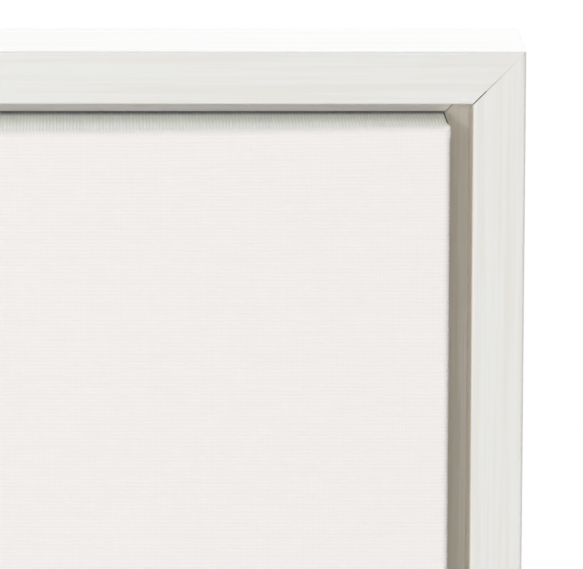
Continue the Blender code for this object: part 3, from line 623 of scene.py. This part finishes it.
# %% Cloth: small faults
EDGE_DRAW_IN, EDGE_FADE = 1.0 * MM, 24 * MM
NOSE, NOSE_FROM_END, NOSE_WIDTH, NOSE_DEPTH = 0.20 * MM, 1.2 * MM, 1.1 * MM, 5 * MM
CORNER_DRAW_IN, AT_ONCE, BEHIND_FROM, BEHIND_WIDTH = 0.5 * MM, 0.4, 0.8 * MM, 1.6 * MM
SIDE_FADE, CORNER_FADE = 2.4 * MM, 9 * MM
RIDGE, RIDGE_FROM, RIDGE_OVER, RIDGE_UNDER, RIDGE_FADE = 0.5 * MM, 13 * MM, 7 * MM, 0.8 * MM, 40 * MM


def fade(distance, width):
    """1 at no distance, 0 at this width, and smooth between."""
    share = min(1.0, max(0.0, distance / width))
    return 1 - share * share * (3 - 2 * share)


for vert in cloth_mesh.verts:
    place = vert.co - middle
    depth = vert.co.y - low.y
    share = min(1.0, depth / depth_of_side)
    side_x, side_z = math.copysign(1, place.x), math.copysign(1, place.z)
    from_x, from_z = half.x - abs(place.x), half.z - abs(place.z)
    pull = EDGE_DRAW_IN * (1 - (place.x / half.x) ** 2) * (1 - share)
    vert.co.z -= side_z * pull * fade(from_z, EDGE_FADE)
    nose = NOSE * math.exp(-(((from_z - NOSE_FROM_END) / NOSE_WIDTH) ** 2)) * fade(depth, NOSE_DEPTH)
    behind_nose = AT_ONCE * (1 - fade(depth - BEHIND_FROM, BEHIND_WIDTH)) + (1 - AT_ONCE) * share
    drawn = CORNER_DRAW_IN * behind_nose * fade(from_z, CORNER_FADE)
    vert.co.x += side_x * (nose - drawn) * fade(from_x, SIDE_FADE)
    turned_in = min(from_x, from_z)
    if vert.co.y > high.y - 0.01 * MM and turned_in > RIDGE_FROM:
        width = RIDGE_OVER if from_z < from_x else RIDGE_UNDER
        vert.co.y += RIDGE * fade(abs(from_x - from_z), width) * fade(TURN_IN - turned_in, RIDGE_FADE)
print("draw-in", EDGE_DRAW_IN / MM, "mm, corner nose", NOSE / MM, "mm")

# %% Cloth: thickness and finish
cloth = bpy.data.objects.new("primed_canvas", bpy.data.meshes.new("primed_canvas"))
cloth_mesh.to_mesh(cloth.data)
cloth_mesh.free()
cloth.data.shade_smooth()
scene.collection.objects.link(cloth)
cloth.data.materials.append(primed)
cloth.data.materials.append(raw)
thickness = cloth.modifiers.new("thickness", "SOLIDIFY")
thickness.thickness, thickness.offset = THICKNESS, -1.0
thickness.material_offset, thickness.material_offset_rim = 1, 1
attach(cloth, "framed_canvas")
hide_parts("canvas_cloth")

# %% [markdown]
# ## Staples
#
# A staple is a flat wire bent twice. The mesh is made by the same bends: a small rectangle, the wire's
# section, is extruded up the leg, spun round the bend, extruded along the crown, and down again. A staple
# made this way has round shoulders that catch the light, which a box would not.


# %% Wire and piece helpers
def new_piece(name, mesh, finish, body, node, smooth_angle):
    """Turns a bmesh into a piece that stands for a solid."""
    bmesh.ops.recalc_face_normals(mesh, faces=mesh.faces)
    data = bpy.data.meshes.new(name)
    mesh.to_mesh(data)
    mesh.free()
    data.shade_smooth()
    data.set_sharp_from_angle(angle=math.radians(smooth_angle))
    data.materials.append(finish)
    piece = bpy.data.objects.new(name, data)
    scene.collection.objects.link(piece)
    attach(piece, body)
    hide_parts(node)
    return piece


def end_of(grown, kind):
    """The verts, edges or faces among what an operator made."""
    return [g for g in grown if isinstance(g, kind)]


def run_on(mesh, faces, way):
    """Extrudes the end of a wire straight on, and returns its new end."""
    grown = bmesh.ops.extrude_face_region(mesh, geom=faces)["geom"]
    bmesh.ops.translate(mesh, vec=way, verts=end_of(grown, bmesh.types.BMVert))
    return end_of(grown, bmesh.types.BMFace)


def bend(mesh, faces, centre, axis, angle, steps):
    """Spins the end of a wire round a bend, and returns its new end."""
    turned = bmesh.ops.spin(mesh, geom=faces, cent=centre, axis=axis, angle=angle, steps=steps)
    return end_of(turned["geom_last"], bmesh.types.BMFace)


def back_centre(node):
    """The middle of a solid's back, where the head or the crown of what is driven in lies."""
    low_corner, high_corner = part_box(node)
    return Vector(((low_corner.x + high_corner.x) / 2, high_corner.y, (low_corner.z + high_corner.z) / 2))


print("first staple at", [round(v / MM, 1) for v in back_centre("top_staple_1")])

# %% Staples
WIRE, BEND, BEND_STEPS, STAPLE_SMOOTH = 0.6 * MM, 0.7 * MM, 5, 35


def staple(crown, leg, width):
    """A staple at the origin: crown along X with its top at y = 0, legs towards -Y."""
    mesh = bmesh.new()
    grid = bmesh.ops.create_grid(mesh, x_segments=1, y_segments=1, size=0.5)["verts"]
    tip = Matrix.Translation((-crown / 2 + WIRE / 2, -leg, 0)) @ Matrix.Rotation(QUARTER, 4, "X")
    bmesh.ops.transform(mesh, matrix=tip @ Matrix.Diagonal((WIRE, width, 1, 1)), verts=grid)
    end = run_on(mesh, mesh.faces[:], (0, leg - WIRE / 2 - BEND, 0))
    shoulder = Vector((-crown / 2 + WIRE / 2 + BEND, -WIRE / 2 - BEND, 0))
    end = bend(mesh, end, shoulder, (0, 0, 1), -QUARTER, BEND_STEPS)
    end = run_on(mesh, end, (crown - WIRE - 2 * BEND, 0, 0))
    end = bend(mesh, end, shoulder * Vector((-1, 1, 1)), (0, 0, 1), -QUARTER, BEND_STEPS)
    run_on(mesh, end, (0, -(leg - WIRE / 2 - BEND), 0))
    return mesh


staples = [name for name in solids if "_staple_" in name]
for name in staples:
    low_corner, high_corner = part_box(name)
    size = high_corner - low_corner
    mesh = staple(max(size.x, size.z), size.y, min(size.x, size.z))
    turn = Matrix.Identity(4) if size.x > size.z else Matrix.Rotation(QUARTER, 4, "Y")
    bmesh.ops.transform(mesh, matrix=Matrix.Translation(back_centre(name)) @ turn, verts=mesh.verts)
    new_piece(f"{name}_wire", mesh, wire_steel, "framed_canvas", name, STAPLE_SMOOTH)
print(len(staples), "staples")

# %% [markdown]
# ## Screws
#
# Each screw has a cross recess. It starts as a three by three grid without its corners, which is the floor
# of the recess. Its outline is extruded up and out to the top of the head, and bridged to a circle. The
# circle is then extruded ring by ring down the head and the shank. A cut with a boolean would give the same
# cross, but leaves long thin faces that shade badly.

# %% Screws
RECESS_FLOOR, SCREW_SEGMENTS, SCREW_SMOOTH = 0.7, 24, 30


def screw(recess, rings):
    """A screw along Z, top at z = 0. Recess is half width, half length and depth, a ring radius and z."""
    mesh = bmesh.new()
    slot_half, arm, depth = recess
    bmesh.ops.create_grid(mesh, x_segments=3, y_segments=3, size=1.0)
    corners = [f for f in mesh.faces if min(abs(c) for c in f.calc_center_median().xy) > 0.5]
    bmesh.ops.delete(mesh, geom=corners, context="FACES")
    for vert in mesh.verts:
        reach = [math.copysign(slot_half if abs(c) < 0.5 else arm, c) for c in vert.co.xy]
        vert.co = (reach[0] * RECESS_FLOOR, reach[1] * RECESS_FLOOR, -depth)
    edges = [e for e in mesh.edges if e.is_boundary]
    grown = bmesh.ops.extrude_edge_only(mesh, edges=edges)["geom"]
    for vert in end_of(grown, bmesh.types.BMVert):
        vert.co = (vert.co.x / RECESS_FLOOR, vert.co.y / RECESS_FLOOR, 0)
    cross = [e for e in mesh.edges if e.is_boundary]
    radius, level = rings[0]
    bmesh.ops.create_circle(mesh, segments=SCREW_SEGMENTS, radius=radius)
    circle = [e for e in mesh.edges if e.is_wire]
    bmesh.ops.translate(mesh, vec=(0, 0, level), verts=list({v for e in circle for v in e.verts}))
    bmesh.ops.bridge_loops(mesh, edges=cross + circle)
    for next_radius, next_level in rings[1:]:
        rim = [e for e in mesh.edges if e.is_boundary]
        grown = bmesh.ops.extrude_edge_only(mesh, edges=rim)["geom"]
        verts = end_of(grown, bmesh.types.BMVert)
        bmesh.ops.scale(mesh, vec=(next_radius / radius, next_radius / radius, 1), verts=verts)
        bmesh.ops.translate(mesh, vec=(0, 0, next_level - level), verts=verts)
        radius, level = next_radius, next_level
    bmesh.ops.holes_fill(mesh, edges=[e for e in mesh.edges if e.is_boundary])
    return mesh


# Half width, half length and depth of each recess, then radius and z of each ring, in millimetres
flat_recess, pan_recess = (0.42, 1.75, 1.5), (0.32, 1.1, 1.0)
flat_head = [(3.35, 0), (3.5, -0.10), (1.75, -1.75), (1.75, -17.0), (0.15, -20.0)]
pan_head = [(1.25, 0), (1.7, -0.05), (2.3, -0.32), (2.68, -0.72), (2.8, -1.15), (2.8, -1.8)]
pan_head += [(1.4, -1.8), (1.4, -9.3), (0.12, -11.8)]
screws = [name for name in solids if name.endswith("_hanger_screw") or "_mounting_screw_" in name]
for name in screws:
    pan = name.endswith("_hanger_screw")
    recess, head = (pan_recess, pan_head) if pan else (flat_recess, flat_head)
    mesh = screw([v * MM for v in recess], [(r * MM, z * MM) for r, z in head])
    place = back_centre(name)
    # No two recesses stand at the same angle, as when driven by hand
    driven = Matrix.Rotation(0.4 + 1.9 * len(name) + 3.1 * place.x, 4, "Z")
    turn = Matrix.Rotation(-QUARTER, 4, "X") @ driven
    bmesh.ops.transform(mesh, matrix=Matrix.Translation(place) @ turn, verts=mesh.verts)
    new_piece(f"{name}_crossed", mesh, zinc, "framed_canvas", name, SCREW_SMOOTH)
print(len(screws), "screws")

# %% [markdown]
# ## Ring hangers
#
# A hanger is a strip of plated steel folded round the straight bar of a D-shaped ring, with both leaves
# under one screw. The strip is an edge that is extruded along the lower leaf, spun round the ring's
# bar and extruded back over the top. The ring is a circle that is run along its bar and spun round its
# bends. Both are made the way the real ones are bent, so the ring has the same small play in its roll.

# %% Hanger strip
SHEET, STRIP_WIDTH, LEAF_GAP, EASED = 0.8 * MM, 8.4 * MM, 0.1 * MM, 0.15 * MM
TAIL, TAIL_ROUND, NECK, SHOULDER = 4.2 * MM, 2.5 * MM, 3.8 * MM, math.radians(130)
RING_WIRE, RING_PLAY = 1.0 * MM, 0.25 * MM
ROLL_RADIUS = RING_WIRE + RING_PLAY + SHEET / 2
ROLL_STEPS, TAIL_STEPS = 20, 5


def strip(roll_along):
    """The folded strip: X across it, Y out from the frame, Z from the screw towards the ring."""
    mesh = bmesh.new()
    ends = [mesh.verts.new((x, 0, -TAIL)) for x in (-STRIP_WIDTH / 2, STRIP_WIDTH / 2)]
    edges = [mesh.edges.new(ends)]

    def extruded(edges, way):
        grown = bmesh.ops.extrude_edge_only(mesh, edges=edges)["geom"]
        bmesh.ops.translate(mesh, vec=way, verts=end_of(grown, bmesh.types.BMVert))
        return end_of(grown, bmesh.types.BMEdge)

    def far_edge(edges):
        return [e for e in edges if abs(e.verts[0].co.x - e.verts[1].co.x) > STRIP_WIDTH / 2 and e.is_boundary]

    edges = far_edge(extruded(edges, (0, 0, TAIL + roll_along)))
    centre = (0, ROLL_RADIUS, roll_along)
    sweep = -(SHOULDER + QUARTER)
    spun = bmesh.ops.spin(mesh, geom=edges, cent=centre, axis=(1, 0, 0), angle=sweep, steps=ROLL_STEPS)
    edges = end_of(spun["geom_last"], bmesh.types.BMEdge)
    here = edges[0].verts[0].co
    edges = far_edge(extruded(edges, (0, SHEET + LEAF_GAP - here.y, NECK - here.z)))
    extruded(edges, (0, 0, -TAIL - NECK))
    tails = [v for v in mesh.verts if v.co.z < -TAIL + 0.001 * MM]
    bmesh.ops.bevel(
        mesh, geom=tails, offset=TAIL_ROUND, segments=TAIL_STEPS, affect="VERTICES", profile=0.5, material=-1
    )
    return mesh


print("strip rolled to", round(ROLL_RADIUS / MM, 2), "mm")

# %% Hanger ring
RING_BAR, RING_BEND, RING_SEGMENTS = 4.5 * MM, 2.5 * MM, 14


def d_ring():
    """The D-ring: X along its bar, Z towards its bow."""
    mesh = bmesh.new()
    ring = bmesh.ops.create_circle(mesh, segments=RING_SEGMENTS, radius=RING_WIRE)["verts"]
    start = Matrix.Translation((-RING_BAR, 0, 0)) @ Matrix.Rotation(QUARTER, 4, "Y")
    bmesh.ops.transform(mesh, matrix=start, verts=ring)
    grown = bmesh.ops.extrude_edge_only(mesh, edges=mesh.edges[:])["geom"]
    bmesh.ops.translate(mesh, vec=(2 * RING_BAR, 0, 0), verts=end_of(grown, bmesh.types.BMVert))
    edges = [e for e in end_of(grown, bmesh.types.BMEdge) if all(v.co.x > 0 for v in e.verts)]
    for centre, angle, steps in ((RING_BAR, QUARTER, 8), (0, 2 * QUARTER, 28), (-RING_BAR, QUARTER, 8)):
        spun = bmesh.ops.spin(
            mesh, geom=edges, cent=(centre, 0, RING_BEND), axis=(0, 1, 0), angle=-angle, steps=steps
        )
        edges = end_of(spun["geom_last"], bmesh.types.BMEdge)
    bmesh.ops.remove_doubles(mesh, verts=mesh.verts, dist=0.01 * MM)
    return mesh


for side, turn in (("left", QUARTER), ("right", -QUARTER)):
    ring_name, strap_name = f"{side}_hanger_ring", f"{side}_hanger_strap"
    joint = next(j for j in frame["joints"] if j["child"] == ring_name)
    hinge = Vector(joint["pos_m"])
    screw_x = back_centre(f"{side}_hanger_screw").x
    upright = Matrix.Rotation(turn, 4, "Y")
    mesh = strip(abs(hinge.x - screw_x))
    leaf = Vector((screw_x, hinge.y - ROLL_RADIUS, hinge.z))
    bmesh.ops.transform(mesh, matrix=Matrix.Translation(leaf) @ upright, verts=mesh.verts)
    strap = new_piece(f"{side}_hanger_strip", mesh, zinc, "framed_canvas", strap_name, 40)
    thickness = strap.modifiers.new("thickness", "SOLIDIFY")
    thickness.thickness, thickness.offset, thickness.use_even_offset = SHEET, 0.0, True
    eased = strap.modifiers.new("eased_edges", "BEVEL")
    eased.width, eased.segments, eased.limit_method = EASED, 2, "ANGLE"
    mesh = d_ring()
    bmesh.ops.transform(mesh, matrix=Matrix.Translation(hinge) @ upright, verts=mesh.verts)
    new_piece(f"{side}_hanger_bow", mesh, zinc, ring_name, ring_name, 60)
print("hangers turn at", [round(v / MM, 2) for v in hinge])

# %% [markdown]
# ## Stopping in the mitres
#
# The rails' mitres are tight at the outer corner and open a hair towards the inside. White stopping rubbed
# into the joint holds where it is tight, so the dark line fades out towards the outer corner. Each stopping
# is a thin box laid along its mitre, with the front of its inner end pushed down into the joint. A dark
# line painted on the face would not go dark and light with the lamps.

# %% Stopping in the mitres
STOPPING_DEPTH = 1.5 * MM
# Along the mitre from the outer corner: its start and end, its width, its front, and how far that sinks
on_face = (0.85 * MM, 10.0 * MM, 0.17 * MM, FRONT_Y + 0.02 * MM, 0.25 * MM)
on_ledge = (13.9 * MM, 35.0 * MM, 0.50 * MM, LEDGE_Y + 0.60 * MM, 0.10 * MM)
# Stopping is chalk in a binder: it gives the eye a matt, even white, a shade duller than the stain round it
stopping_finish, tree, shader = new_material("white_wood_stopping")
shader.inputs["Base Color"].default_value = linear("#DAD9D5")
shader.inputs["Roughness"].default_value = 0.8
stopping_mesh = bmesh.new()
for column, row in ((-1, -1), (1, -1), (-1, 1), (1, 1)):
    outwards = Vector((column, 0, row)).normalized()
    corner = Vector((column * frame_high.x, 0, CENTRE_Z + row * (frame_high.z - CENTRE_Z)))
    turn = Matrix.Rotation(math.atan2(-row, column), 4, "Y")
    for start, stop, width, front, sink in (on_face, on_ledge):
        box = bmesh.ops.create_cube(stopping_mesh, size=1.0)["verts"]
        inner_end = [v for v in box if v.co.x < 0 and v.co.y < 0]
        bmesh.ops.translate(stopping_mesh, vec=(0, sink / STOPPING_DEPTH, 0), verts=inner_end)
        place = corner - outwards * (start + stop) / 2 + Vector((0, front + STOPPING_DEPTH / 2, 0))
        size = Matrix.Diagonal((stop - start, STOPPING_DEPTH, width, 1))
        bmesh.ops.transform(stopping_mesh, matrix=Matrix.Translation(place) @ turn @ size, verts=box)
bmesh.ops.recalc_face_normals(stopping_mesh, faces=stopping_mesh.faces)
stopping = bpy.data.objects.new("mitre_stopping", bpy.data.meshes.new("mitre_stopping"))
stopping_mesh.to_mesh(stopping.data)
stopping_mesh.free()
stopping.data.materials.append(stopping_finish)
scene.collection.objects.link(stopping)
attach(stopping, "framed_canvas")
print("stopping in", len(stopping.data.polygons) // 6, "places")

# %% [markdown]
# ## Size
#
# The dressed object has to stay the size of its solids, so both boxes are printed side by side.

# %% Size
dressed_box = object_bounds()
for title, box in (("solids", solid_box), ("dressed", dressed_box)):
    print(title, [[round(v / MM, 1) for v in corner] for corner in box])
